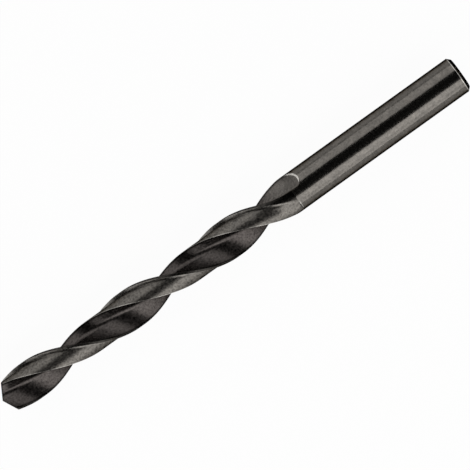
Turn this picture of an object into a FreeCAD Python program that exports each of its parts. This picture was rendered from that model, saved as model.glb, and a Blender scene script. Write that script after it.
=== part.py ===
# Twist drill bit: one piece of high-speed steel with a straight shank, two right-hand flutes,
# a margin and body clearance on each land, a run-out where each flute ends, and a ground point.
# Millimetres. It is drawn with its axis along X, the point at X = 0 and the shank end at
# X = length, and then laid on its side, centred over the origin with its lowest line at Z = 0.
# Angles are in degrees, measured round the axis from +Y towards +Z.
import FreeCAD, Part
import os
import Sketcher
from math import cos, radians, sin, sqrt

V = FreeCAD.Vector
ORIGIN = V(0, 0, 0)
NODE = "drill_bit"

# Each driving dimension: its alias, its value and what it is.
SIZES = [
    ("diameter", 9.0, "cutting diameter over the margins, at the point"),
    ("length", 125.0, "overall length"),
    ("shank_diameter", 8.9, "plain shank"),
    ("lead_length", 53.84, "advance of the flutes in one turn"),
    ("point_angle", 135.0, "included angle of the two lips"),
    ("web", 1.5, "thickness of the core between the flutes"),
    ("lip_relief", 10.5, "clearance angle just behind a lip"),
    ("flank_radius", 10.4, "curvature of the flank behind a lip"),
    ("flank_reach", 5.0, "half width and height of the cut that grinds a flank"),
    ("land_front", 121.2, "angle of the first land's cutting corner, in the section at X = 0"),
    ("margin_angle", 10.5, "width of a margin round the axis"),
    ("land_angle", 73.7, "width of a whole land round the axis, margin included"),
    ("clearance_diameter", 7.28, "body diameter behind the margins"),
    ("rake_radius", 12.6, "hollow of the rake face in the cross-section"),
    ("root_radius", 1.3, "round at the bottom of a flute"),
    ("heel_radius", 20.0, "hollow of the flute wall that leads to the heel"),
    ("flute_length", 82.2, "from the point to the far end of a flute"),
    ("runout_length", 11.9, "length over which a flute rises out of the body"),
    ("runout_rise", 5.69, "how far the cut has moved out of the body at the far end of a flute"),
    ("runout_ease", 6.1, "length over which the cut stops turning with the helix"),
    ("runout_direction", 143.0, "angle along which the cut leaves the body, in the section at X = 0"),
    ("clearance_length", 78.4, "from the point to the end of the body clearance"),
    ("clearance_overlap", 6.0, "how far the clearance cut reaches past the heel, round the axis"),
    ("end_chamfer", 0.8, "chamfer round the shank end"),
    ("overcut", 1.5, "how far the cuts reach outside the bar"),
]
# Cross-sections along a run-out, and the clear length past its end that they reach.
RUNOUT_SECTIONS = 8
RUNOUT_REACH = 1.08

doc = FreeCAD.newDocument("twist_drill_bit")
sheet = doc.addObject("Spreadsheet::Sheet", "sizes")
for row, (name, value, note) in enumerate(SIZES, start=1):
    sheet.set("A%d" % row, name)
    sheet.set("B%d" % row, str(value))
    sheet.set("C%d" % row, note)
    sheet.setAlias("B%d" % row, name)
doc.recompute()


def size(name):
    return float(sheet.get(name))


def polar(radius, angle):
    return V(radius * cos(radians(angle)), radius * sin(radians(angle)), 0)


def circle_meet(centre_a, radius_a, centre_b, radius_b, side):
    """The point at radius_a from centre_a and radius_b from centre_b, on one side."""
    gap = centre_b - centre_a
    along = (radius_a ** 2 - radius_b ** 2 + gap.Length ** 2) / (2 * gap.Length)
    across = sqrt(radius_a ** 2 - along ** 2)
    unit = gap / gap.Length
    return centre_a + unit * along + V(-unit.y, unit.x, 0) * across * side


def arc(centre, start, end):
    """Counter-clockwise arc about centre."""
    circle = Part.Circle(centre, V(0, 0, 1), (start - centre).Length)
    return Part.ArcOfCircle(circle, circle.parameter(start), circle.parameter(end))


def origin_feature(role):
    return next(f for f in body.Origin.OriginFeatures if f.Role == role)


def new_sketch(name, role):
    sketch = body.newObject("Sketcher::SketchObject", name)
    sketch.AttachmentSupport = [(origin_feature(role), "")]
    sketch.MapMode = "FlatFace"
    return sketch


def add(sketch, geometry, construction=False):
    return sketch.addGeometry(geometry, construction)


def join(sketch, *ends):
    sketch.addConstraint(Sketcher.Constraint("Coincident", *ends))


def drive(sketch, name, expression, kind, *references):
    """A named dimension of the sketch that follows the sheet."""
    index = sketch.addConstraint(Sketcher.Constraint(kind, *references))
    sketch.renameConstraint(index, name)
    sketch.setExpression("Constraints." + name, expression)


def drive_point(sketch, name, geometry, end, place, radius, angle):
    """Holds a point, now at place, at a radius and an angle round the axis."""
    drive(sketch, name + "_across", "(%s) * cos(%s)" % (radius, angle),
          "DistanceX", -1, 1, geometry, end, place.x)
    drive(sketch, name + "_up", "(%s) * sin(%s)" % (radius, angle),
          "DistanceY", -1, 1, geometry, end, place.y)


def feature(kind, name, profile):
    result = body.newObject("PartDesign::" + kind, name)
    result.Profile = profile
    profile.Visibility = False
    return result


def both_sides(name, *originals):
    """Repeats cuts on the opposite side of the axis."""
    pattern = body.newObject("PartDesign::PolarPattern", name)
    pattern.Originals = list(originals)
    pattern.Axis = (origin_feature("X_Axis"), [""])
    pattern.Angle = 360
    pattern.Occurrences = 2
    body.Tip = pattern


def helix_cut(name, profile, height):
    """Carries a section round the axis at the lead of the flutes."""
    cut = feature("SubtractiveHelix", name, profile)
    cut.ReferenceAxis = (origin_feature("X_Axis"), [""])
    cut.Mode = "pitch-height-angle"
    cut.LeftHanded = False
    cut.setExpression("Pitch", "sizes.lead_length")
    cut.setExpression("Height", height)
    return cut


def make_bar():
    """The turned bar: it tapers back from the point to the shank, and its end is chamfered."""
    front = size("diameter") / 2
    shank = size("shank_diameter") / 2
    length = size("length")
    chamfer = size("end_chamfer")
    corners = [
        V(0, 0, 0),
        V(0, front, 0),
        V(size("flute_length"), shank, 0),
        V(length - chamfer, shank, 0),
        V(length, shank - chamfer, 0),
        V(length, 0, 0),
    ]
    sketch = new_sketch("bar_profile", "XY_Plane")
    count = len(corners)
    for i in range(count):
        add(sketch, Part.LineSegment(corners[i], corners[(i + 1) % count]))
    for i in range(count):
        join(sketch, i, 2, (i + 1) % count, 1)
    join(sketch, 0, 1, -1, 1)
    sketch.addConstraint(Sketcher.Constraint("Vertical", 0))
    sketch.addConstraint(Sketcher.Constraint("Horizontal", 2))
    sketch.addConstraint(Sketcher.Constraint("Vertical", 4))
    sketch.addConstraint(Sketcher.Constraint("Horizontal", 5))
    drive(sketch, "front_radius", "sizes.diameter / 2", "DistanceY", -1, 1, 0, 2, front)
    drive(sketch, "taper_end", "sizes.flute_length", "DistanceX", -1, 1, 1, 2, size("flute_length"))
    drive(sketch, "shank_radius", "sizes.shank_diameter / 2", "DistanceY", -1, 1, 2, 1, shank)
    drive(sketch, "overall", "sizes.length", "DistanceX", -1, 1, 4, 2, length)
    drive(sketch, "chamfer_along", "sizes.end_chamfer", "DistanceX", 3, 1, 3, 2, chamfer)
    drive(sketch, "chamfer_in", "sizes.end_chamfer", "DistanceY", 3, 2, 3, 1, chamfer)
    bar = feature("Revolution", "bar", sketch)
    bar.ReferenceAxis = (origin_feature("X_Axis"), [""])
    bar.Angle = 360


def flute_section(name, station, turn, slide="0"):
    """Outline of what a flute takes out: rake face, root and heel wall, closed outside the bar.

    It is drawn for X = 0 and then carried to its station, turned, and slid out of the body.
    """
    radius = size("diameter") / 2
    half_web = size("web") / 2
    rake, root, heel = size("rake_radius"), size("root_radius"), size("heel_radius")
    rim = radius + size("overcut")
    corner = polar(radius, size("land_front"))
    heel_corner = polar(size("clearance_diameter") / 2, size("land_front") + size("land_angle") - 180)
    rake_centre = circle_meet(ORIGIN, half_web + rake, corner, rake, -1)
    web_touch = rake_centre * (half_web / rake_centre.Length)
    root_centre = rake_centre * ((half_web + root) / rake_centre.Length)
    heel_centre = circle_meet(root_centre, heel - root, heel_corner, heel, 1)
    root_end = heel_centre + (root_centre - heel_centre) * (heel / (heel - root))
    rake_rim = circle_meet(ORIGIN, rim, rake_centre, rake, 1)
    heel_rim = circle_meet(ORIGIN, rim, heel_centre, heel, -1)

    sketch = new_sketch(name, "YZ_Plane")
    rake_arc = add(sketch, arc(rake_centre, rake_rim, web_touch))
    root_arc = add(sketch, arc(root_centre, web_touch, root_end))
    heel_arc = add(sketch, arc(heel_centre, root_end, heel_rim))
    rim_arc = add(sketch, arc(ORIGIN, heel_rim, rake_rim))
    web_circle = add(sketch, Part.Circle(ORIGIN, V(0, 0, 1), half_web), True)
    corner_point = add(sketch, Part.Point(corner), True)
    heel_point = add(sketch, Part.Point(heel_corner), True)

    join(sketch, rim_arc, 3, -1, 1)
    join(sketch, web_circle, 3, -1, 1)
    sketch.addConstraint(Sketcher.Constraint("Tangent", rake_arc, 2, web_circle))
    sketch.addConstraint(Sketcher.Constraint("Tangent", rake_arc, 2, root_arc, 1))
    sketch.addConstraint(Sketcher.Constraint("Tangent", root_arc, 2, heel_arc, 1))
    join(sketch, heel_arc, 2, rim_arc, 1)
    join(sketch, rim_arc, 2, rake_arc, 1)
    sketch.addConstraint(Sketcher.Constraint("PointOnObject", corner_point, 1, rake_arc))
    sketch.addConstraint(Sketcher.Constraint("PointOnObject", heel_point, 1, heel_arc))
    drive(sketch, "web_radius", "sizes.web / 2", "Radius", web_circle, half_web)
    drive(sketch, "rim_radius", "sizes.diameter / 2 + sizes.overcut", "Radius", rim_arc, rim)
    drive(sketch, "rake_radius", "sizes.rake_radius", "Radius", rake_arc, rake)
    drive(sketch, "root_radius", "sizes.root_radius", "Radius", root_arc, root)
    drive(sketch, "heel_radius", "sizes.heel_radius", "Radius", heel_arc, heel)
    drive_point(sketch, "corner", corner_point, 1, corner, "sizes.diameter / 2", "sizes.land_front")
    drive_point(sketch, "heel", heel_point, 1, heel_corner, "sizes.clearance_diameter / 2",
                "sizes.land_front + sizes.land_angle - 180")

    direction = "(sizes.runout_direction + (%s))" % turn
    sketch.setExpression("AttachmentOffset.Base.x", "(%s) * cos(%s)" % (slide, direction))
    sketch.setExpression("AttachmentOffset.Base.y", "(%s) * sin(%s)" % (slide, direction))
    sketch.setExpression("AttachmentOffset.Base.z", station)
    sketch.setExpression("AttachmentOffset.Rotation.Angle", turn)
    return sketch


def make_flutes():
    """A helical cut from beyond the point to the run-out, and the run-out that follows it.

    Along the run-out the section slides out of the body on the arc of the cutter's rim and
    eases out of its turning, so the cut ends in a rounded scoop.
    """
    start = flute_section("flute_start", "-sizes.overcut", "-360 * sizes.overcut / sizes.lead_length")
    straight = "sizes.flute_length - sizes.runout_length"
    flute = helix_cut("flute", start, straight + " + sizes.overcut")

    sections = []
    for i in range(RUNOUT_SECTIONS):
        part = RUNOUT_REACH * i / (RUNOUT_SECTIONS - 1)
        run = "%.6f * sizes.runout_length" % part
        eased = "min(%s; sizes.runout_ease)" % run
        turning = "(%s - (%s) ^ 2 / (2 * sizes.runout_ease))" % (eased, eased)
        station = "%s + %s" % (straight, run)
        turn = "360 / sizes.lead_length * (%s + %s)" % (straight, turning)
        slide = "sizes.runout_rise * %.6f ^ 2" % part
        sections.append(flute_section("runout_%d" % i, station, turn, slide))
    runout = feature("SubtractiveLoft", "runout", sections[0])
    runout.Sections = [(section, [""]) for section in sections[1:]]
    for section in sections:
        section.Visibility = False
    both_sides("flutes", flute, runout)


def make_clearance():
    """Takes the body down behind each margin, to a square end near the run-out."""
    floor = size("clearance_diameter") / 2
    rim = size("diameter") / 2 + size("overcut")
    back = size("land_front") + size("margin_angle")
    far = size("land_front") + size("land_angle") + size("clearance_overlap")
    sketch = new_sketch("clearance_start", "YZ_Plane")
    wall = add(sketch, Part.LineSegment(polar(rim, back), polar(floor, back)))
    floor_arc = add(sketch, arc(ORIGIN, polar(floor, back), polar(floor, far)))
    side = add(sketch, Part.LineSegment(polar(floor, far), polar(rim, far)))
    rim_arc = add(sketch, arc(ORIGIN, polar(rim, back), polar(rim, far)))
    join(sketch, wall, 2, floor_arc, 1)
    join(sketch, floor_arc, 2, side, 1)
    join(sketch, side, 2, rim_arc, 2)
    join(sketch, rim_arc, 1, wall, 1)
    back_angle = "sizes.land_front + sizes.margin_angle"
    far_angle = "sizes.land_front + sizes.land_angle + sizes.clearance_overlap"
    floor_radius = "sizes.clearance_diameter / 2"
    rim_radius = "sizes.diameter / 2 + sizes.overcut"
    drive(sketch, "floor_radius", floor_radius, "Radius", floor_arc, floor)
    drive(sketch, "rim_radius", rim_radius, "Radius", rim_arc, rim)
    drive_point(sketch, "wall_foot", wall, 2, polar(floor, back), floor_radius, back_angle)
    drive_point(sketch, "wall_top", wall, 1, polar(rim, back), rim_radius, back_angle)
    drive_point(sketch, "side_foot", side, 1, polar(floor, far), floor_radius, far_angle)
    drive_point(sketch, "side_top", side, 2, polar(rim, far), rim_radius, far_angle)
    sketch.setExpression("AttachmentOffset.Base.z", "-sizes.overcut")
    sketch.setExpression("AttachmentOffset.Rotation.Angle", "-360 * sizes.overcut / sizes.lead_length")
    cut = helix_cut("clearance", sketch, "sizes.clearance_length + sizes.overcut")
    both_sides("body_clearance", cut)


def make_point():
    """Grinds the two flanks. Where they meet across the web they leave the chisel edge.

    The sketch lies square to the first lip, so the flank is a curve behind the lip. Its X runs
    backwards round the drill from the lip and its Y out of the steel.
    """
    half_web = size("web") / 2
    relief = radians(size("lip_relief"))
    curve = size("flank_radius")
    reach = size("flank_reach")
    lip = V(-half_web, 0, 0)
    centre = lip - V(curve * sin(relief), curve * cos(relief), 0)
    left = V(-reach, centre.y + sqrt(curve ** 2 - (reach + centre.x) ** 2), 0)
    right = V(reach, centre.y + sqrt(curve ** 2 - (reach - centre.x) ** 2), 0)
    sketch = new_sketch("flank_profile", "YZ_Plane")
    flank = add(sketch, arc(centre, right, left))
    left_side = add(sketch, Part.LineSegment(left, V(-reach, reach, 0)))
    top = add(sketch, Part.LineSegment(V(-reach, reach, 0), V(reach, reach, 0)))
    right_side = add(sketch, Part.LineSegment(V(reach, reach, 0), right))
    join(sketch, flank, 2, left_side, 1)
    join(sketch, left_side, 2, top, 1)
    join(sketch, top, 2, right_side, 1)
    join(sketch, right_side, 2, flank, 1)
    sketch.addConstraint(Sketcher.Constraint("Vertical", left_side))
    sketch.addConstraint(Sketcher.Constraint("Horizontal", top))
    sketch.addConstraint(Sketcher.Constraint("Vertical", right_side))
    drive(sketch, "flank_radius", "sizes.flank_radius", "Radius", flank, curve)
    drive(sketch, "centre_back", "sizes.web / 2 + sizes.flank_radius * sin(sizes.lip_relief)",
          "DistanceX", flank, 3, -1, 1, -centre.x)
    drive(sketch, "centre_in", "sizes.flank_radius * cos(sizes.lip_relief)",
          "DistanceY", flank, 3, -1, 1, -centre.y)
    drive(sketch, "reach_left", "sizes.flank_reach", "DistanceX", top, 1, -1, 1, reach)
    drive(sketch, "reach_right", "sizes.flank_reach", "DistanceX", -1, 1, top, 2, reach)
    drive(sketch, "reach_up", "sizes.flank_reach", "DistanceY", -1, 1, top, 2, reach)

    half_point = "(sizes.point_angle / 2)"
    # How far the flank has dropped from the lip to the axis, so that the chisel is at X = 0.
    fall = ("(sizes.web / 2 * tan(sizes.lip_relief)"
            " + (sizes.web / 2) ^ 2 / (2 * sizes.flank_radius)) / sin(%s)" % half_point)
    lip_length = "sqrt((sizes.diameter / 2) ^ 2 - (sizes.web / 2) ^ 2)"
    corner_station = "(%s / tan(%s) - %s)" % (lip_length, half_point, fall)
    lip_angle = ("(sizes.land_front + asin(sizes.web / sizes.diameter) / 1 deg"
                 " + 360 / sizes.lead_length * %s)" % corner_station)
    sketch.setExpression("AttachmentOffset.Base.z", "-(%s)" % fall)
    sketch.setExpression("AttachmentOffset.Rotation.Yaw", "%s - 270" % lip_angle)
    sketch.setExpression("AttachmentOffset.Rotation.Roll", "%s - 180" % half_point)
    flank_cut = feature("Pocket", "flank", sketch)
    flank_cut.Type = "Length"
    flank_cut.SideType = "Symmetric"
    flank_cut.setExpression("Length", "sizes.diameter * 2")
    both_sides("point", flank_cut)


body = doc.addObject("PartDesign::Body", "drill")
body.Label = NODE
for make in (make_bar, make_flutes, make_clearance, make_point):
    make()
    doc.recompute()
body.setExpression("Placement.Base.x", "-sizes.length / 2")
body.setExpression("Placement.Base.z", "sizes.diameter / 2")
doc.recompute()

for item in doc.Objects:
    if "Invalid" in item.State or "Error" in item.State:
        raise RuntimeError("%s failed: %s" % (item.Name, item.State))
if body.Shape.isNull() or not body.Shape.isValid():
    raise RuntimeError("%s has no valid shape" % NODE)

os.makedirs("parts", exist_ok=True)
body.Shape.exportStep("parts/%s.step" % NODE)
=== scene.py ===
import cmath
import math

import bmesh
import bpy
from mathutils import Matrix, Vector


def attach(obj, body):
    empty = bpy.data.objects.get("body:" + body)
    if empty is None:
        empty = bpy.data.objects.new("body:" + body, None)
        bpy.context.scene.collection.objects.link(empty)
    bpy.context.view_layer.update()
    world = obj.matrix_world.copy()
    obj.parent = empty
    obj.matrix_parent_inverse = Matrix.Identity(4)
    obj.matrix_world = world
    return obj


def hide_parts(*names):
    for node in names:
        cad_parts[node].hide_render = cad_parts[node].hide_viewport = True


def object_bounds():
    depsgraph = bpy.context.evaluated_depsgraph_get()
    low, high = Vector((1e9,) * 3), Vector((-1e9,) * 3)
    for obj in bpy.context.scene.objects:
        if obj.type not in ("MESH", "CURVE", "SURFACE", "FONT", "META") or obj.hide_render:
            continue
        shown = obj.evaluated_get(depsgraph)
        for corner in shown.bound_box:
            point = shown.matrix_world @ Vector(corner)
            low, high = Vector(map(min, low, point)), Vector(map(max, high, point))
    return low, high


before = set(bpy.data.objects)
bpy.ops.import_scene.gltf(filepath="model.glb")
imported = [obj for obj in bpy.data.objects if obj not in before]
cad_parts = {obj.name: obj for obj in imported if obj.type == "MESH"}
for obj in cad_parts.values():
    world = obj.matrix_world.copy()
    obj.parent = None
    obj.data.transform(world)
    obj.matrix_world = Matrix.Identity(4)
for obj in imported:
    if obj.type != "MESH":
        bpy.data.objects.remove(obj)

bl_info = {
    "name": "Twist drill bit",
    "version": (1, 0, 0),
    "blender": (4, 5, 0),
    "location": "View3D > Sidebar > Drill",
    "description": "Builds a black-oxide twist drill bit with its stage",
    "category": "Add Mesh",
}

LOW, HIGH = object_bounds()
PIECE = "drill_steel"
NODE = "drill_bit"
AXIS_HEIGHT = (LOW.z + HIGH.z) / 2
TURN = 2 * math.pi
MM = 0.001
# How finely the mesh is divided. The counts are of points over a land, over its margin, over each half of a
# flute and along each long arc of a flute's outline, and of rows behind the point, along a run-out and along
# the shank.
SPAN_POINTS = 34
MARGIN_POINTS = 6
SIDE_POINTS = 26
ARC_POINTS = 120
POINT_ROWS = 8
RUNOUT_ROWS = 56
SHANK_ROWS = 40
FLUTE_STEP = 0.4 * MM
POINT_ZONE = 4 * MM
# The power by which rows crowd together towards the far end of a run-out.
RUNOUT_CROWDING = 1.6
# How far a flute's outline is drawn past the body.
OUTLINE_REACH = 2 * MM
# Lengths nearer than the tolerance are taken as equal, points nearer than the weld are joined, and faces
# thinner than the sliver are removed. Edges that turn by more than the angle are shaded sharp.
TOLERANCE = 0.001 * MM
WELD = 0.0002 * MM
SLIVER = 0.00001 * MM
SHARP_ANGLE = math.radians(32)
# The clearance's end wall: half its slant, its rim, worn and painted with a highlight, and the column where
# the wear and highlight end.
WALL_SLANT = 0.03 * MM
WALL_RIM = 0.12 * MM
WALL_COLUMNS = 20
HEEL_COLUMN = SPAN_POINTS - 2
# How far from margin to heel the clearance starts to fade before its wall.
FADE_SHARE = 0.2
# The shank end: the round at both edges of its chamfer, and the worn, painted-highlight band before it.
CHAMFER_ROUND = 0.12 * MM
END_WEAR_HIGHLIGHT_WIDTH = 0.1 * MM
# Above nought an edge value is wear, the share of oxide gone from an edge, and partly a painted highlight.
# Below nought it is painted shade: colour darkened towards black inside the flutes' edges and on the margins.
FLUTE_PAINTED_SHADE = -0.8
MARGIN_PAINTED_SHADE = -0.8
MARGIN_WEAR_HIGHLIGHT = 0.2
HEEL_WEAR_HIGHLIGHT = 0.5
WALL_WEAR_HIGHLIGHT = 0.35
PAINTED_SHADE_WIDTH = 0.55 * MM
# The bright rim of a flute's far end, worn steel and a painted highlight: its depth, its columns, and how far
# before the end it starts and is full.
RIM_DEPTH = 0.28 * MM
RIM_COLUMNS = 42
RIM_START = 2.6 * MM
RIM_FULL = 1.4 * MM
# Where the run-outs grow paler than the flutes and by how much, and where the lands grow as smooth as the
# shank.
PALER_FROM, PALER_TO = 68 * MM, 80 * MM
PALER_SHARE = 0.85
SMOOTHER_FROM, SMOOTHER_TO = 72 * MM, 81 * MM
# Half the floor's width, and how far the drill's middle stands left of and below the picture's.
FLOOR_REACH = 3.0
SHIFT_RIGHT, SHIFT_UP = 0.755 * MM, 0.444 * MM
# The colour sockets of a Mix node, which shares its names between kinds.
COLOUR_A, COLOUR_B, COLOUR_OUT = 6, 7, 2


def srgb(colour):
    """The linear red, green, blue and alpha of an sRGB hex colour."""
    channels = [int(colour[i:i + 2], 16) / 255 for i in (1, 3, 5)]
    return tuple(c / 12.92 if c <= 0.04045 else ((c + 0.055) / 1.055) ** 2.4 for c in channels) + (1,)


def length_property(name, description, default):
    return bpy.props.FloatProperty(
        name=name, description=description, default=default, unit="LENGTH", precision=5)


def angle_property(name, description, degrees):
    return bpy.props.FloatProperty(
        name=name, description=description, default=math.radians(degrees), subtype="ANGLE")


def colour_property(name, description, colour):
    return bpy.props.FloatVectorProperty(
        name=name, description=description, default=srgb(colour), size=4, min=0, max=1, subtype="COLOR")


class DrillSizes(bpy.types.PropertyGroup):
    length: length_property("Length", "From the point to the shank end", HIGH.x - LOW.x)
    diameter: length_property("Diameter", "Over the margins, at the point", HIGH.y - LOW.y)
    shank_diameter: length_property("Shank diameter", "Plain shank", 8.9 * MM)
    lead: length_property("Lead", "Advance of the flutes in one turn", 53.84 * MM)
    web: length_property("Web", "Thickness of the core between the flutes", 1.5 * MM)
    point_angle: angle_property("Point angle", "Included angle of the two lips", 135)
    lip_relief: angle_property("Lip relief", "Clearance angle just behind a lip", 10.5)
    flank_radius: length_property("Flank radius", "Curvature of the flank behind a lip", 10.4 * MM)
    land_front: angle_property("Land front", "Place of the first cutting corner at the point", 121.2)
    margin_angle: angle_property("Margin", "Width of a margin round the axis", 10.5)
    land_angle: angle_property("Land", "Width of a land round the axis, margin included", 73.7)
    clearance_diameter: length_property("Clearance diameter", "Body behind the margins", 7.28 * MM)
    rake_radius: length_property("Rake radius", "Hollow of the rake face", 12.6 * MM)
    root_radius: length_property("Root radius", "Round at the bottom of a flute", 1.3 * MM)
    heel_radius: length_property("Heel radius", "Hollow of the wall that leads to the heel", 20 * MM)
    flute_length: length_property("Flute length", "From the point to the far end of a flute", 82.2 * MM)
    runout_length: length_property("Run-out", "Length over which a flute rises out of the body", 11.9 * MM)
    runout_rise: length_property("Run-out rise", "How far the cut moves out of the body", 5.69 * MM)
    runout_ease: length_property("Run-out ease", "Length over which the cut stops turning", 6.1 * MM)
    runout_direction: angle_property("Run-out direction", "Angle along which the cut leaves the body", 143)
    clearance_length: length_property(
        "Clearance length", "From the point to the clearance's end wall", 79.2 * MM)
    clearance_fade: length_property(
        "Clearance fade", "Length over which the clearance rises at the heel", 11.4 * MM)
    heel_gap: length_property("Heel gap", "From the faded clearance at the heel to the end wall", 1.8 * MM)
    end_chamfer: length_property("End chamfer", "Round the shank end", 0.8 * MM)
    edge_break: length_property("Edge break", "Tiny flat along every long edge", 0.07 * MM)


class DrillFinish(bpy.types.PropertyGroup):
    oxide: colour_property("Oxide", "Main colour of the black oxide", "#4f4d4a")
    oxide_thin: colour_property("Thin oxide", "Colour where the oxide is thinner", "#6c6863")
    flute_oxide: colour_property("Flute oxide", "Colour of the oxide inside the flutes", "#464240")
    # Painted shade: the shank's end chamfer is coloured nearly black to stand for its dark reflection.
    chamfer_shade_colour: colour_property("Chamfer shade", "Colour of the turned, unground shank end", "#24221f")
    # Pale steel for worn edges, also laid on as painted highlights along them.
    burnish_and_highlight: colour_property("Burnish and highlight", "Steel showing along the edges", "#d2cfc9")
    shank_roughness: bpy.props.FloatProperty(
        name="Shank roughness", description="Satin of the ground shank", default=0.18, min=0, max=1)
    land_roughness: bpy.props.FloatProperty(
        name="Land roughness", description="Duller steel of the lands", default=0.36, min=0, max=1)
    flute_roughness: bpy.props.FloatProperty(
        name="Flute roughness", description="Dullest steel, inside the flutes", default=0.34, min=0, max=1)


class DrillStage(bpy.types.PropertyGroup):
    floor: colour_property("Floor", "Pale studio floor", "#f4f4f4")
    floor_glow: bpy.props.FloatProperty(
        name="Floor glow", description="Share of the paper's white that comes through it", default=0.96,
        min=0, max=1)
    picture_width: length_property(
        "Picture width", "Width of the floor that the camera takes in", 104.35 * MM)
    camera_turn: angle_property("Camera turn", "How far the drill is turned in the picture", 35.65)
    camera_height: length_property("Camera height", "Above the drill's axis", 1.2)


def meet(centre_a, radius_a, centre_b, radius_b, side):
    """The point at radius_a from centre_a and radius_b from centre_b, on one side."""
    gap = centre_b - centre_a
    along = (radius_a ** 2 - radius_b ** 2 + abs(gap) ** 2) / (2 * abs(gap))
    across = math.sqrt(radius_a ** 2 - along ** 2)
    return centre_a + gap / abs(gap) * complex(along, across * side)


def arc(centre, start, end, count):
    """Points counter-clockwise about centre, from start up to and including end."""
    spoke = start - centre
    turn = cmath.phase((end - centre) / spoke) % TURN
    return [centre + spoke * cmath.rect(1, turn * i / count) for i in range(count + 1)]


def smooth_step(low, high, value):
    """Rises from 0 at low to 1 at high, and is level at both."""
    share = min(max((value - low) / (high - low), 0), 1)
    return share ** 2 * (3 - 2 * share)


class DrillShape:
    """The drill's cross-sections. A point across the axis is a complex number, +Y real and +Z imaginary.

    Sections are given unturned: the flutes run straight along the axis until the twist is added.
    """

    def __init__(self, sizes):
        s = self.s = sizes
        half_web = s.web / 2
        radius = s.diameter / 2
        rim = radius + OUTLINE_REACH
        corner = cmath.rect(radius, s.land_front)
        heel = cmath.rect(s.clearance_diameter / 2, s.land_front + s.land_angle - math.pi)
        rake_centre = meet(0, half_web + s.rake_radius, corner, s.rake_radius, -1)
        direction = rake_centre / abs(rake_centre)
        root_centre = direction * (half_web + s.root_radius)
        heel_centre = meet(root_centre, s.heel_radius - s.root_radius, heel, s.heel_radius, 1)
        root_end = heel_centre + (root_centre - heel_centre) * s.heel_radius / (s.heel_radius - s.root_radius)
        rake_rim = meet(0, rim, rake_centre, s.rake_radius, 1)
        heel_rim = meet(0, rim, heel_centre, s.heel_radius, -1)
        line = arc(rake_centre, rake_rim, direction * half_web, ARC_POINTS)
        line += arc(root_centre, direction * half_web, root_end, ARC_POINTS // 2)[1:]
        line += arc(heel_centre, root_end, heel_rim, ARC_POINTS)[1:]
        self.flute = line[::-1]
        self.straight = s.flute_length - s.runout_length
        self.half_point = s.point_angle / 2
        lip_length = math.sqrt(radius ** 2 - half_web ** 2)
        relief = half_web * math.tan(s.lip_relief) + half_web ** 2 / (2 * s.flank_radius)
        self.fall = relief / math.sin(self.half_point)
        corner_x = lip_length / math.tan(self.half_point) - self.fall
        self.lip_angle = s.land_front + math.asin(s.web / s.diameter) + TURN * corner_x / s.lead
        self.split = self.chisel_share()
        self.flute_end = self.find_flute_end()

    def twist(self, x):
        """The turn of the flutes at x, as a complex factor. The shank stands as the flutes' end does."""
        return cmath.rect(1, TURN * min(x, self.s.flute_length) / self.s.lead)

    def body_radius(self, x):
        """The bar tapers back from the point to the shank."""
        s = self.s
        share = min(x / s.flute_length, 1)
        return (s.diameter + (s.shank_diameter - s.diameter) * share) / 2

    def cut_line(self, x):
        """The flute's whole outline at x. Along the run-out it slides out of the body and stops turning."""
        s = self.s
        run = max(x - self.straight, 0)
        eased = min(run, s.runout_ease)
        turning = eased - eased ** 2 / (2 * s.runout_ease)
        turned = cmath.rect(1, TURN * (turning - run) / s.lead)
        slide = cmath.rect(s.runout_rise * (run / s.runout_length) ** 2, s.runout_direction)
        return [(p + slide) * turned for p in self.flute]

    def find_flute_end(self):
        """The place where the cut has left the body, found by halving."""
        near, far = self.straight, self.s.flute_length + OUTLINE_REACH
        for _ in range(40):
            x = (near + far) / 2
            if min(abs(p) for p in self.cut_line(x)) < self.body_radius(x):
                near = x
            else:
                far = x
        return near

    def steel_radius(self, x, share=1):
        """Radius behind the margins, share of the way to the heel.

        The clearance ends in a wall, low at the heel, where the clearance has already faded out.
        """
        s = self.s
        at_wall = (x - s.clearance_length + WALL_SLANT) / (2 * WALL_SLANT)
        at_heel = (x - s.clearance_length + s.heel_gap + s.clearance_fade) / s.clearance_fade
        faded = min(max(at_heel, 0), 1) * smooth_step(FADE_SHARE, 1, share)
        done = max(min(at_wall, 1), faded)
        floor = s.clearance_diameter / 2
        return floor + (self.body_radius(x) - floor) * done

    def flute_points(self, x, shares=None):
        """The flute's outline inside the steel, from the heel to the cutting corner, its ends broken."""
        line = self.cut_line(x)
        heel_radius, radius = self.steel_radius(x), self.body_radius(x)
        nearest = min(range(len(line)), key=lambda i: abs(line[i]))
        first = next((i for i in range(nearest, 0, -1) if abs(line[i]) > heel_radius), 0)
        last = next((i for i in range(nearest, len(line)) if abs(line[i]) > radius), len(line) - 1)
        inside = line[first + 1:last]
        if len(inside) < 2:
            touch = line[nearest]
            touch = touch / abs(touch) * radius
            return [touch] * (2 * SIDE_POINTS - 1)

        def crossing(a, b, limit):
            return a + (b - a) * (limit - abs(a)) / (abs(b) - abs(a))

        inside.insert(0, crossing(line[first], line[first + 1], heel_radius))
        inside.append(crossing(line[last - 1], line[last], radius))
        run = [0]
        for a, b in zip(inside, inside[1:]):
            run.append(run[-1] + abs(b - a))
        # The broken edges shrink with the flute where it is nearly gone.
        edge = min(self.s.edge_break, 0.15 * run[-1])
        if shares is None:
            split = self.split
            shares = [split * i / (SIDE_POINTS - 1) for i in range(SIDE_POINTS)]
            shares += [split + (1 - split) * i / (SIDE_POINTS - 1) for i in range(1, SIDE_POINTS)]
        points = []
        j = 0
        for share in shares:
            place = edge + share * (run[-1] - 2 * edge)
            while j < len(run) - 2 and run[j + 1] < place:
                j += 1
            points.append(inside[j] + (inside[j + 1] - inside[j]) * (place - run[j]) / (run[j + 1] - run[j]))
        return points

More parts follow.
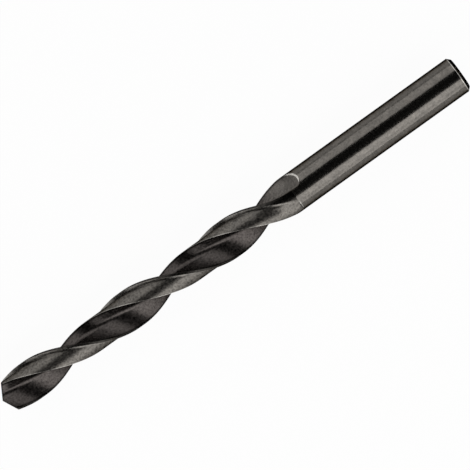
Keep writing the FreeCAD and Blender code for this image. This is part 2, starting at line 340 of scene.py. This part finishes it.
    def land_points(self, x, flute):
        """Outline of a land, from the cutting corner to the heel, with the flute points at both its ends."""
        s = self.s
        radius, behind = self.body_radius(x), self.steel_radius(x, 0)
        # Where the flute shrinks to a point, the land's front lies within the weld of it.
        edge = min(s.edge_break, 0.5 * abs(flute[-1] - flute[-2]) + WELD / 2)
        front = cmath.phase(flute[-1]) % TURN + edge / radius
        heel = (cmath.phase(-flute[0]) - front) % TURN + front - edge / radius
        margin_end = s.land_front + s.margin_angle
        # The margin steps down to the clearance within about twice the width of a broken edge.
        step = 2.2 * s.edge_break / radius
        spans = SPAN_POINTS - MARGIN_POINTS - 4
        places = [(radius, front + (margin_end - step - front) * i / (MARGIN_POINTS - 1))
                  for i in range(MARGIN_POINTS)]
        places.append((max(radius - s.edge_break, behind), margin_end))
        places.append((min(behind + s.edge_break, radius), margin_end + step * 0.4))
        places += [(self.steel_radius(x, i / (spans - 1)),
                    margin_end + 2 * step + (heel - margin_end - 2 * step) * i / (spans - 1))
                   for i in range(spans)]
        if x > s.clearance_length:
            # Past the clearance the points spread evenly round the land.
            share = smooth_step(s.clearance_length, self.flute_end, x)
            last = len(places) - 1
            places = [(radius, a + (front + (heel - front) * i / last - a) * share)
                      for i, (_, a) in enumerate(places)]
        return [flute[-1]] + [cmath.rect(r, a) for r, a in places] + [-flute[0]]

    def flank(self, p):
        """Where the first land's flank stands along the axis, over a turned point p.

        The two flanks meet in the chisel edge.
        """
        s = self.s
        across = p * cmath.rect(1, -self.lip_angle)
        centre = -s.web / 2 - s.flank_radius * math.sin(s.lip_relief)
        height = math.sqrt(s.flank_radius ** 2 - (across.imag - centre) ** 2)
        height -= s.flank_radius * math.cos(s.lip_relief)
        return -self.fall + across.real / math.tan(self.half_point) - height / math.sin(self.half_point)

    def face_x(self, p):
        """Where the ground point starts, on the line of the twisted drill through section point p."""
        x = 0
        for _ in range(12):
            turned = p * self.twist(x)
            x = max(self.flank(turned), self.flank(-turned))
        return x

    def chisel_share(self):
        """How far along the flute, from heel to corner, the chisel edge meets it."""
        count = 400
        past_point = 5 * MM
        points = self.flute_points(past_point, [i / count for i in range(count + 1)])
        for i in range(count, 0, -1):
            turned = points[i] * self.twist(self.face_x(points[i]))
            if self.flank(turned) < self.flank(-turned):
                return i / count
        raise RuntimeError("the chisel edge doesn't meet the flute")


def stations(shape):
    """Stations of the rows along the flutes, past the point zone."""
    count = round((shape.straight - POINT_ZONE) / FLUTE_STEP)
    rows = [POINT_ZONE + (shape.straight - POINT_ZONE) * i / count for i in range(count)]
    for i in range(RUNOUT_ROWS + 1):
        rest = (1 - i / RUNOUT_ROWS) ** RUNOUT_CROWDING
        rows.append(shape.flute_end - (shape.flute_end - shape.straight) * rest)
    wall = shape.s.clearance_length
    rows = [x for x in rows if abs(x - wall) > 2 * WALL_SLANT]
    return sorted(rows + [wall - WALL_SLANT, wall + WALL_SLANT, wall + WALL_SLANT + WALL_RIM])


class Skin:
    """Collects the grids of faces in one mesh, with what the finish reads of them."""

    def __init__(self, shape):
        self.shape = shape
        self.mesh = bmesh.new()
        self.edge = self.mesh.verts.layers.float.new("edge")
        self.flute = self.mesh.verts.layers.float.new("flute")
        self.cut = self.mesh.verts.layers.float.new("cut")
        self.chamfer_shade_mask = self.mesh.verts.layers.float.new("chamfer_shade_mask")
        self.surface = self.mesh.loops.layers.uv.new("surface")

    def wear_and_painted_light(self, row, k, flute):
        """How much steel shows at column k, worn and partly a painted highlight: on edges, far rims, the
        clearance's wall and the shank end. Values below nought are painted shade inside the flutes' edges and
        on the margins.
        """
        shape, s = self.shape, self.shape.s
        x, p = row[k]
        if x >= shape.flute_end:
            # The edge before the end chamfer takes a painted highlight, partly worn steel.
            return 1 if abs(x - s.length + s.end_chamfer) < TOLERANCE else 0
        # The clearance's end wall takes a painted highlight, partly worn steel.
        on_wall = -2 * WALL_SLANT < x - s.clearance_length < WALL_RIM + 2 * WALL_SLANT
        if flute == 0 and on_wall and MARGIN_POINTS < k < WALL_COLUMNS:
            return WALL_WEAR_HIGHLIGHT
        # The far rims of the flutes take a painted highlight, partly worn steel.
        rim = smooth_step(s.flute_length - RIM_START, s.flute_length - RIM_FULL, x)
        shallow = shape.body_radius(x) - abs(p) < RIM_DEPTH
        if flute == 1 and k < RIM_COLUMNS and rim > 0 and shallow:
            return rim
        inside = min(abs(p - row[0][1]), abs(p - row[-1][1]))
        # Painted shade: a dark band just inside the edges of the flutes and lands.
        if flute == 1 or inside == 0:
            return FLUTE_PAINTED_SHADE * (1 - smooth_step(PAINTED_SHADE_WIDTH / 2, PAINTED_SHADE_WIDTH, inside))
        # The heel edge takes a painted highlight, partly worn steel.
        if flute == 0 and k == HEEL_COLUMN:
            return HEEL_WEAR_HIGHLIGHT
        if flute == 0 and x < s.clearance_length:
            # Painted shade on the margins, and a painted highlight, partly wear, on the step behind them.
            if k < MARGIN_POINTS:
                return MARGIN_PAINTED_SHADE
            return MARGIN_WEAR_HIGHLIGHT if k == MARGIN_POINTS + 1 else 0
        return 0

    def grid(self, rows, flute):
        """Adds the faces between rows of (x, point). Flute is 1 in a flute, 0 on a land, 0.5 on a flank."""
        s = self.shape.s
        across = [0]
        middle = rows[len(rows) // 2]
        for (_, a), (_, b) in zip(middle, middle[1:]):
            across.append(across[-1] + abs(b - a))
        made = []
        for i, row in enumerate(rows):
            line = []
            for k, (x, p) in enumerate(row):
                vert = self.mesh.verts.new((LOW.x + x, p.real, p.imag + AXIS_HEIGHT))
                # The flute's first row, at the point, takes painted shade.
                vert[self.edge] = FLUTE_PAINTED_SHADE if flute == 1 and i == 0 else self.wear_and_painted_light(row, k, flute)
                vert[self.flute] = flute * (1 - PALER_SHARE * smooth_step(PALER_FROM, PALER_TO, x))
                vert[self.cut] = 1 - smooth_step(SMOOTHER_FROM, SMOOTHER_TO, x)
                # Painted shade: the end chamfer is marked to be coloured nearly black.
                vert[self.chamfer_shade_mask] = 1 if x > s.length - s.end_chamfer + CHAMFER_ROUND / 2 else 0
                line.append(vert)
            made.append(line)
        for i in range(len(rows) - 1):
            for k in range(len(across) - 1):
                corners = ((i, k), (i + 1, k), (i + 1, k + 1), (i, k + 1))
                face = self.mesh.faces.new([made[m][n] for m, n in corners])
                face.smooth = True
                for loop, (m, n) in zip(face.loops, corners):
                    loop[self.surface].uv = (across[n], rows[m][n][0])

    def finish(self, name):
        """Welds the grids into one closed skin and gives it as a mesh."""
        bmesh.ops.remove_doubles(self.mesh, verts=self.mesh.verts, dist=WELD)
        bmesh.ops.dissolve_degenerate(self.mesh, edges=self.mesh.edges, dist=SLIVER)
        bmesh.ops.recalc_face_normals(self.mesh, faces=self.mesh.faces)
        open_edges = sum(1 for edge in self.mesh.edges if len(edge.link_faces) != 2)
        if open_edges:
            raise RuntimeError("%d open edges in the drill's skin" % open_edges)
        data = bpy.data.meshes.new(name)
        self.mesh.to_mesh(data)
        self.mesh.free()
        return data


def drill_skin(sizes):
    """Mesh of the whole drill with its flutes still straight."""
    shape = DrillShape(sizes)
    skin = Skin(shape)

    def half(x):
        flute = shape.flute_points(x)
        return flute, shape.land_points(x, flute)

    flute_mid, land_mid = half(POINT_ZONE)
    starts_flute = [shape.face_x(p) for p in flute_mid]
    starts_land = [shape.face_x(p) for p in land_mid]
    flute_rows, land_rows = [], []
    for i in range(POINT_ROWS):
        share = i / POINT_ROWS
        flute_rows.append([(x + (POINT_ZONE - x) * share, p) for x, p in zip(starts_flute, flute_mid)])
        land_rows.append([(x + (POINT_ZONE - x) * share, p) for x, p in zip(starts_land, land_mid)])
    for x in stations(shape):
        flute, land = half(x)
        flute_rows.append([(x, p) for p in flute])
        land_rows.append([(x, p) for p in land])

    # The plain shank, its chamfer, and the end face closed at the axis.
    end = land_rows[-1]
    circle = [p / abs(p) for _, p in end]
    radius = sizes.shank_diameter / 2
    plain = sizes.length - sizes.end_chamfer
    for i in range(1, SHANK_ROWS + 1):
        x = shape.flute_end + (plain - END_WEAR_HIGHLIGHT_WIDTH - shape.flute_end) * i / SHANK_ROWS
        land_rows.append([(x, p * shape.body_radius(x)) for p in circle])
    soft = CHAMFER_ROUND
    rim = radius - sizes.end_chamfer
    profile = [
        (plain, radius), (plain + soft, radius - soft), (sizes.length - soft / 2, rim + soft / 2),
        (sizes.length, rim - soft), (sizes.length, radius / 2), (sizes.length, 0)]
    for x, r in profile:
        land_rows.append([(x, p * r) for p in circle])

    for side in (1, -1):
        skin.grid([[(x, side * p) for x, p in row] for row in flute_rows], 1)
        skin.grid([[(x, side * p) for x, p in row] for row in land_rows], 0)
        skin.grid(point_rows(shape, flute_mid, land_mid, side), 0.5)
    return skin.finish(PIECE)


def point_rows(shape, flute, land, side):
    """The ground flank of one land: rows from the chisel edge out to the land's rim."""
    def turned(points):
        return [p * shape.twist(shape.face_x(p)) for p in points]

    middle = SIDE_POINTS - 1
    front = turned(flute[middle:])
    back = [-p for p in turned(flute[:middle + 1])[::-1]]
    rim = turned(land)
    last = len(rim) - 1
    chisel = [front[0] + (back[0] - front[0]) * i / last for i in range(last + 1)]
    rows = []
    for j in range(SIDE_POINTS):
        v = j / middle
        row = []
        for i in range(last + 1):
            u = i / last
            p = (1 - v) * chisel[i] + v * rim[i] + (1 - u) * front[j] + u * back[j]
            p -= (
                (1 - u) * (1 - v) * chisel[0] + u * (1 - v) * chisel[-1]
                + (1 - u) * v * rim[0] + u * v * rim[-1])
            x = max(shape.flank(p), shape.flank(-p))
            row.append((x, side * p / shape.twist(x)))
        rows.append(row)
    return rows


def add_node(tree, kind, inputs=None, **settings):
    """Adds a node with its settings, and its inputs as values or as links from other nodes."""
    node = tree.nodes.new(kind)
    for name, value in settings.items():
        setattr(node, name, value)
    for socket, value in (inputs or {}).items():
        if isinstance(value, bpy.types.NodeSocket):
            tree.links.new(value, node.inputs[socket])
        else:
            node.inputs[socket].default_value = value
    return node


def twist_tree():
    """Geometry nodes that wind straight flutes into a screw round the drill's axis."""
    tree = bpy.data.node_groups.new("screw_twist", "GeometryNodeTree")
    new = tree.interface.new_socket
    new(name="Geometry", in_out="INPUT", socket_type="NodeSocketGeometry")
    for name in ("Lead", "Twisted Length", "Point X", "Axis Height"):
        new(name=name, in_out="INPUT", socket_type="NodeSocketFloat")
    new(name="Finish", in_out="INPUT", socket_type="NodeSocketMaterial")
    new(name="Geometry", in_out="OUTPUT", socket_type="NodeSocketGeometry")
    given = tree.nodes.new("NodeGroupInput").outputs
    position = add_node(tree, "GeometryNodeInputPosition")
    parts = add_node(tree, "ShaderNodeSeparateXYZ", {0: position.outputs[0]})
    run = add_node(tree, "ShaderNodeMath", {0: parts.outputs["X"], 1: given["Point X"]}, operation="SUBTRACT")
    held = add_node(
        tree, "ShaderNodeMath", {0: run.outputs[0], 1: given["Twisted Length"]}, operation="MINIMUM")
    turns = add_node(tree, "ShaderNodeMath", {0: held.outputs[0], 1: given["Lead"]}, operation="DIVIDE")
    angle = add_node(tree, "ShaderNodeMath", {0: turns.outputs[0], 1: TURN}, operation="MULTIPLY")
    centre = add_node(tree, "ShaderNodeCombineXYZ", {"Z": given["Axis Height"]})
    wound = add_node(
        tree, "ShaderNodeVectorRotate",
        {"Vector": position.outputs[0], "Center": centre.outputs[0], "Angle": angle.outputs[0]},
        rotation_type="X_AXIS")
    moved = add_node(
        tree, "GeometryNodeSetPosition", {"Geometry": given["Geometry"], "Position": wound.outputs[0]})
    whole = add_node(tree, "GeometryNodeRealizeInstances", {"Geometry": moved.outputs[0]})
    painted = add_node(
        tree, "GeometryNodeSetMaterial", {"Geometry": whole.outputs[0], "Material": given["Finish"]})
    add_node(tree, "NodeGroupOutput", {0: painted.outputs[0]})
    return tree


def wind(piece, sizes, finish):
    """Twists the piece with the node tree and keeps the result as a plain mesh."""
    tree = twist_tree()
    modifier = piece.modifiers.new("screw_twist", "NODES")
    modifier.node_group = tree
    values = {
        "Lead": sizes.lead,
        "Twisted Length": sizes.flute_length,
        "Point X": LOW.x,
        "Axis Height": AXIS_HEIGHT,
        "Finish": finish,
    }
    for item in tree.interface.items_tree:
        if item.in_out == "INPUT" and item.name in values:
            modifier[item.identifier] = values[item.name]
    evaluated = piece.evaluated_get(bpy.context.evaluated_depsgraph_get())
    mesh = bpy.data.meshes.new_from_object(evaluated)
    piece.modifiers.clear()
    piece.data = mesh
    mesh.set_sharp_from_angle(angle=SHARP_ANGLE)


def black_oxide(finish):
    """Steam-blackened high-speed steel, ground before it was blackened.

    It gives a dark brown-grey metal with a satin gloss that mirrors the lights as clear bands, faint
    grinding lines round the shank and along the flutes, a cloudy film, thin bright edges that are worn steel
    and painted highlights, painted shade as dark bands inside the flutes' edges, and an end chamfer darkened
    as painted shade.
    """
    material = bpy.data.materials.new("black_oxide_high_speed_steel")
    material.use_nodes = True
    tree = material.node_tree
    tree.nodes.clear()
    place = add_node(tree, "ShaderNodeTexCoord").outputs["Object"]
    surface = add_node(tree, "ShaderNodeUVMap", uv_map="surface").outputs[0]
    edge = add_node(tree, "ShaderNodeAttribute", attribute_name="edge").outputs["Fac"]
    flute = add_node(tree, "ShaderNodeAttribute", attribute_name="flute").outputs["Fac"]
    cut = add_node(tree, "ShaderNodeAttribute", attribute_name="cut").outputs["Fac"]
    chamfer_shade_mask = add_node(tree, "ShaderNodeAttribute", attribute_name="chamfer_shade_mask").outputs["Fac"]

    # Clouds in the oxide are about 1.5 mm across, specks about 0.45 mm.
    cloud = add_node(tree, "ShaderNodeTexNoise", {"Vector": place, "Scale": 1 / (1.5 * MM), "Detail": 3.0})
    speck = add_node(tree, "ShaderNodeTexNoise", {"Vector": place, "Scale": 1 / (0.45 * MM), "Detail": 4.0})
    # Grinding lines are some 0.05 mm apart. They are drawn 0.25 mm apart, or they would not show.
    round_lines = add_node(
        tree, "ShaderNodeMapping", {"Vector": place, "Scale": (1 / (0.25 * MM), 1 / (6 * MM), 1 / (6 * MM))})
    ground = add_node(
        tree, "ShaderNodeTexNoise", {"Vector": round_lines.outputs[0], "Scale": 1.0, "Detail": 2.0})
    flute_lines = add_node(
        tree, "ShaderNodeMapping", {"Vector": surface, "Scale": (1 / (0.25 * MM), 1 / (9 * MM), 1)})
    milled = add_node(
        tree, "ShaderNodeTexNoise", {"Vector": flute_lines.outputs[0], "Scale": 1.0, "Detail": 2.0})
    lines = add_node(
        tree, "ShaderNodeMix", {"Factor": flute, "A": ground.outputs["Fac"], "B": milled.outputs["Fac"]},
        data_type="FLOAT")

    shade = add_node(
        tree, "ShaderNodeMix",
        {"Factor": cloud.outputs["Fac"], COLOUR_A: tuple(finish.oxide), COLOUR_B: tuple(finish.oxide_thin)},
        data_type="RGBA")
    tone = add_node(
        tree, "ShaderNodeMix",
        {"Factor": flute, COLOUR_A: shade.outputs[COLOUR_OUT], COLOUR_B: tuple(finish.flute_oxide)},
        data_type="RGBA")
    # Painted shade: the end chamfer takes the nearly black colour.
    turned = add_node(
        tree, "ShaderNodeMix",
        {"Factor": chamfer_shade_mask, COLOUR_A: tone.outputs[COLOUR_OUT], COLOUR_B: tuple(finish.chamfer_shade_colour)},
        data_type="RGBA")
    # Specks lighten and darken the film, less on the shank than on the fluted length.
    rough = add_node(tree, "ShaderNodeMath", {0: cut, 1: flute}, operation="MAXIMUM")
    depth = add_node(tree, "ShaderNodeMapRange", {"Value": rough.outputs[0], "To Min": 1.2, "To Max": 2.6})
    swing = add_node(
        tree, "ShaderNodeMath", {0: speck.outputs["Fac"], 1: 0.5}, operation="SUBTRACT")
    grain = add_node(
        tree, "ShaderNodeMath", {0: swing.outputs[0], 1: depth.outputs[0], 2: 1.0}, operation="MULTIPLY_ADD")
    # Painted shade: just inside the flutes' edges and on the margins the colour is darkened nearly to black.
    painted_edge_shade = add_node(
        tree, "ShaderNodeMapRange",
        {"Value": edge, "From Min": -1.0, "From Max": 0.0, "To Min": 0.1, "To Max": 1.0})
    film = add_node(tree, "ShaderNodeMath", {0: grain.outputs[0], 1: painted_edge_shade.outputs[0]}, operation="MULTIPLY")
    mottled_and_painted_shade = add_node(
        tree, "ShaderNodeMix",
        {"Factor": 1.0, COLOUR_A: turned.outputs[COLOUR_OUT], COLOUR_B: film.outputs[0]},
        data_type="RGBA", blend_type="MULTIPLY")
    # The specks average one half, so twice their product with the wear and painted highlight keeps its level.
    patch = add_node(tree, "ShaderNodeMath", {0: speck.outputs["Fac"], 1: 2.0}, operation="MULTIPLY")
    wear_and_painted_light = add_node(
        tree, "ShaderNodeMath", {0: edge, 1: patch.outputs[0]}, operation="MULTIPLY", use_clamp=True)
    # Worn steel and painted highlight: edge values above nought mix in the pale steel colour.
    colour = add_node(
        tree, "ShaderNodeMix",
        {"Factor": wear_and_painted_light.outputs[0], COLOUR_A: mottled_and_painted_shade.outputs[COLOUR_OUT], COLOUR_B: tuple(finish.burnish_and_highlight)},
        data_type="RGBA")

    # The ground shank is the glossiest, the milled flutes are the dullest.
    bar = add_node(
        tree, "ShaderNodeMapRange",
        {"Value": cut, "To Min": finish.shank_roughness, "To Max": finish.land_roughness})
    dull = add_node(
        tree, "ShaderNodeMix", {"Factor": flute, "A": bar.outputs[0], "B": finish.flute_roughness},
        data_type="FLOAT")
    patchy = add_node(
        tree, "ShaderNodeMapRange",
        {"Value": speck.outputs["Fac"], "From Min": 0.3, "From Max": 0.7, "To Min": 0.8, "To Max": 1.25})
    spread = add_node(
        tree, "ShaderNodeMath", {0: dull.outputs[0], 1: patchy.outputs[0]}, operation="MULTIPLY")
    height = add_node(tree, "ShaderNodeMath", {0: lines.outputs[0], 1: 0.7}, operation="MULTIPLY")
    relief = add_node(
        tree, "ShaderNodeMath", {0: height.outputs[0], 1: speck.outputs["Fac"]}, operation="ADD")
    bump = add_node(
        tree, "ShaderNodeBump", {"Height": relief.outputs[0], "Strength": 0.25, "Distance": 0.01 * MM})
    # The grey tint keeps the film dark where it is seen at a slant.
    shader = add_node(
        tree, "ShaderNodeBsdfPrincipled",
        {"Base Color": colour.outputs[COLOUR_OUT], "Metallic": 1.0,
         "Roughness": spread.outputs[0], "Specular Tint": srgb("#4e4e4e"), "Normal": bump.outputs[0]})
    add_node(tree, "ShaderNodeOutputMaterial", {"Surface": shader.outputs[0]})
    return material


def studio_paper(colour, glow):
    """Matt white studio paper, lit through from below, as a light table is.

    It gives an even, nearly white field that keeps a faint soft shadow. The glow shows to the camera and
    in the steel, and sheds no light on the drill from below.
    """
    material = bpy.data.materials.new("matt_studio_paper")
    material.use_nodes = True
    tree = material.node_tree
    tree.nodes.clear()
    path = add_node(tree, "ShaderNodeLightPath")
    direct = add_node(
        tree, "ShaderNodeMath",
        {0: path.outputs["Is Camera Ray"], 1: path.outputs["Is Glossy Ray"]}, operation="ADD")
    seen = add_node(
        tree, "ShaderNodeMath",
        {0: direct.outputs[0], 1: path.outputs["Is Transmission Ray"]}, operation="ADD", use_clamp=True)
    share = add_node(tree, "ShaderNodeMath", {0: seen.outputs[0], 1: glow}, operation="MULTIPLY")
    matt = add_node(tree, "ShaderNodeBsdfDiffuse", {"Color": tuple(colour), "Roughness": 0.5})
    bright = add_node(tree, "ShaderNodeEmission", {"Color": (1, 1, 1, 1), "Strength": 1.0})
    paper = add_node(
        tree, "ShaderNodeMixShader", {0: share.outputs[0], 1: matt.outputs[0], 2: bright.outputs[0]})
    add_node(tree, "ShaderNodeOutputMaterial", {"Surface": paper.outputs[0]})
    return material


# Each softbox: its name, the angle of its middle from overhead towards +Y, the angle that it covers, and its
# radiance.
SOFTBOXES = [
    ("softbox_near", -45, 30, 2.3),
    ("softbox_low", -72, 24, 1.75),
    ("softbox_far", 53.5, 45, 1.3),
]
SOFTBOX_REACH = 1.0
SOFTBOX_LENGTH = 2.4


def studio_world():
    """A pale room that darkens overhead, so that polished steel shows a dark band between the softboxes."""
    world = bpy.data.worlds.new("studio")
    bpy.context.scene.world = world
    world.use_nodes = True
    tree = world.node_tree
    tree.nodes.clear()
    direction = add_node(tree, "ShaderNodeTexCoord").outputs["Generated"]
    parts = add_node(tree, "ShaderNodeSeparateXYZ", {0: direction})
    level = add_node(
        tree, "ShaderNodeMapRange",
        {"Value": parts.outputs["Z"], "From Min": 0.1, "From Max": 0.4, "To Min": 0.7, "To Max": 0.018},
        interpolation_type="SMOOTHSTEP")
    sky = add_node(tree, "ShaderNodeBackground", {"Color": (1, 1, 1, 1), "Strength": level.outputs[0]})
    add_node(tree, "ShaderNodeOutputWorld", {"Surface": sky.outputs[0]})


class DRILL_OT_bit(bpy.types.Operator):
    """Builds the drill from its section, winds its flutes and gives it its finish"""

    bl_idname = "drill.bit"
    bl_label = "Drill bit"

    def execute(self, context):
        scene = context.scene
        sizes = scene.drill_sizes
        piece = bpy.data.objects.new(PIECE, drill_skin(sizes))
        scene.collection.objects.link(piece)
        wind(piece, sizes, black_oxide(scene.drill_finish))
        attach(piece, "root")
        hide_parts(NODE)
        return {"FINISHED"}


class DRILL_OT_stage(bpy.types.Operator):
    """Lays the floor and sets the softboxes, the room and the camera"""

    bl_idname = "drill.stage"
    bl_label = "Stage"

    def execute(self, context):
        scene = context.scene
        stage = scene.drill_stage
        far = FLOOR_REACH
        corners = [(-far, -far, 0), (far, -far, 0), (far, far, 0), (-far, far, 0)]
        mesh = bpy.data.meshes.new("floor")
        mesh.from_pydata(corners, [], [(0, 1, 2, 3)])
        mesh.materials.append(studio_paper(stage.floor, stage.floor_glow))
        floor = bpy.data.objects.new("floor", mesh)
        scene.collection.objects.link(floor)

        for name, middle, covers, radiance in SOFTBOXES:
            light = bpy.data.lights.new(name, "AREA")
            light.shape = "RECTANGLE"
            light.size = SOFTBOX_LENGTH
            light.size_y = 2 * SOFTBOX_REACH * math.tan(math.radians(covers / 2))
            light.energy = radiance * math.pi * light.size * light.size_y
            lamp = bpy.data.objects.new(name, light)
            lean = math.radians(middle)
            lamp.location = (0, SOFTBOX_REACH * math.sin(lean), SOFTBOX_REACH * math.cos(lean))
            lamp.rotation_euler = (-lean, 0, 0)
            lamp.visible_camera = False
            scene.collection.objects.link(lamp)
        studio_world()

        camera_data = bpy.data.cameras.new("camera")
        camera_data.lens = camera_data.sensor_width * stage.camera_height / stage.picture_width
        camera_data.clip_end = 20
        camera = bpy.data.objects.new("camera", camera_data)
        right = Vector((math.cos(stage.camera_turn), -math.sin(stage.camera_turn), 0))
        up = Vector((math.sin(stage.camera_turn), math.cos(stage.camera_turn), 0))
        camera.location = right * SHIFT_RIGHT + up * SHIFT_UP
        camera.location.z = AXIS_HEIGHT + stage.camera_height
        camera.rotation_euler = (0, 0, -stage.camera_turn)
        scene.collection.objects.link(camera)
        scene.camera = camera
        scene.view_settings.view_transform = "Standard"
        return {"FINISHED"}


class DRILL_PT_sidebar(bpy.types.Panel):
    """Lists the drill's sizes and finish and the operators that build it"""

    bl_idname = "DRILL_PT_sidebar"
    bl_label = "Twist drill bit"
    bl_space_type = "VIEW_3D"
    bl_region_type = "UI"
    bl_category = "Drill"

    def draw(self, context):
        scene = context.scene
        for group in (scene.drill_sizes, scene.drill_finish, scene.drill_stage):
            box = self.layout.box()
            for name in group.__annotations__:
                box.prop(group, name)
        self.layout.operator(DRILL_OT_bit.bl_idname)
        self.layout.operator(DRILL_OT_stage.bl_idname)


CLASSES = (DrillSizes, DrillFinish, DrillStage, DRILL_OT_bit, DRILL_OT_stage, DRILL_PT_sidebar)


def register():
    for item in CLASSES:
        bpy.utils.register_class(item)
    bpy.types.Scene.drill_sizes = bpy.props.PointerProperty(type=DrillSizes)
    bpy.types.Scene.drill_finish = bpy.props.PointerProperty(type=DrillFinish)
    bpy.types.Scene.drill_stage = bpy.props.PointerProperty(type=DrillStage)


def unregister():
    del bpy.types.Scene.drill_stage
    del bpy.types.Scene.drill_finish
    del bpy.types.Scene.drill_sizes
    for item in reversed(CLASSES):
        bpy.utils.unregister_class(item)


def main():
    register()
    bpy.ops.drill.bit()
    bpy.ops.drill.stage()


if __name__ == "__main__":
    main()
